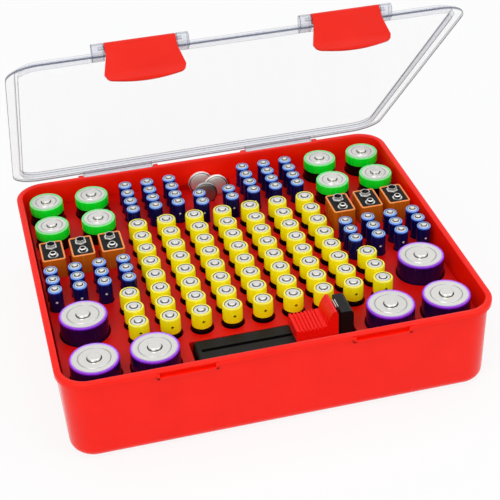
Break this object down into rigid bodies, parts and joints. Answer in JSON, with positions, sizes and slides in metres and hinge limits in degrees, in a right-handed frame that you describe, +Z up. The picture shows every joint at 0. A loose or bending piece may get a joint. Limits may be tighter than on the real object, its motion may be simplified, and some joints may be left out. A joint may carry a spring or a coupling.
{
  "type": "battery organizer case",
  "caption": "Red battery organizer case with a clear hinged lid, two front latches, pockets full of cells in six sizes and a slot for a removable battery tester.",
  "frame": {"origin": "middle of the flat underside of the case", "axes": "+X to the right seen from the front, +Y to the hinge side at the back, +Z up"},
  "size_m": [0.307, 0.2742, 0.2644],
  "materials": {
    "red_plastic": "gloss moulded",
    "clear_plastic": "clear moulded",
    "aa_sleeve": "printed film",
    "aaa_sleeve": "printed film",
    "c_sleeve": "printed film",
    "d_sleeve": "printed film",
    "block_sleeve": "printed film",
    "coin_steel": "brushed",
    "tester_plastic": "fine texture",
    "slider_plastic": "gloss moulded",
    "contact_metal": "plated",
    "dial_card": "printed card",
    "needle_paint": "painted",
    "movement_plastic": "moulded"
  },
  "bodies": {
    "case": {"base_shell": "red_plastic", "insert_tray": "red_plastic"},
    "lid": {"lid": "clear_plastic"},
    "latch_left": {"latch_left": "red_plastic"},
    "latch_right": {"latch_right": "red_plastic"},
    "aa_cells": {"aa_cells": "aa_sleeve"},
    "aaa_cells": {"aaa_cells": "aaa_sleeve"},
    "c_cells": {"c_cells": "c_sleeve"},
    "d_cells": {"d_cells": "d_sleeve"},
    "block_cells": {"block_cells": "block_sleeve"},
    "coin_cells": {"coin_cells": "coin_steel"},
    "tester": {"tester_front_shell": "tester_plastic", "tester_back_shell": "tester_plastic", "tester_window": "clear_plastic", "tester_dial_card": "dial_card", "tester_pivot_cover": "movement_plastic", "tester_movement": "movement_plastic", "tester_load_resistor": "movement_plastic", "tester_arm_contact": "contact_metal", "tester_end_contacts": "contact_metal"},
    "slider": {"tester_slider": "slider_plastic", "tester_slider_clip": "movement_plastic", "tester_slider_contact": "contact_metal"},
    "needle": {"tester_needle": "needle_paint"}
  },
  "joints": [
    {"name": "lid_hinge", "type": "hinge", "parent": "case", "child": "lid", "pos_m": [0, 0.1352, 0.0644], "axis": [-1, 0, 0], "range_deg": [-45, 60]},
    {"name": "latch_left_hinge", "type": "hinge", "parent": "lid", "child": "latch_left", "pos_m": [-0.0675, -0.04808, 0.26098], "axis": [-1, 0, 0], "range_deg": [0, 95]},
    {"name": "latch_right_hinge", "type": "hinge", "parent": "lid", "child": "latch_right", "pos_m": [0.0675, -0.04808, 0.26098], "axis": [-1, 0, 0], "range_deg": [0, 95]},
    {"name": "aa_lift", "type": "slide", "parent": "case", "child": "aa_cells", "axis": [0, 0, 1], "range_m": [0, 0.036]},
    {"name": "aaa_lift", "type": "slide", "parent": "case", "child": "aaa_cells", "axis": [0, 0, 1], "range_m": [0, 0.017]},
    {"name": "c_lift", "type": "slide", "parent": "case", "child": "c_cells", "axis": [0, 0, 1], "range_m": [0, 0.016]},
    {"name": "d_lift", "type": "slide", "parent": "case", "child": "d_cells", "axis": [0, 0, 1], "range_m": [0, 0.046]},
    {"name": "block_lift", "type": "slide", "parent": "case", "child": "block_cells", "axis": [0, 0, 1], "range_m": [0, 0.032]},
    {"name": "coin_lift", "type": "slide", "parent": "case", "child": "coin_cells", "axis": [0, 0, 1], "range_m": [0, 0.02]},
    {"name": "tester_lift", "type": "slide", "parent": "case", "child": "tester", "axis": [0, 0, 1], "range_m": [0, 0.045]},
    {"name": "slider_travel", "type": "slide", "parent": "tester", "child": "slider", "axis": [-1, 0, 0], "range_m": [0, 0.06]},
    {"name": "needle_turn", "type": "hinge", "parent": "tester", "child": "needle", "pos_m": [0.025, -0.1057, 0.0335], "axis": [0, 1, 0], "range_deg": [0, 70], "stiffness_Nm_per_rad": 0.000002}
  ]
}
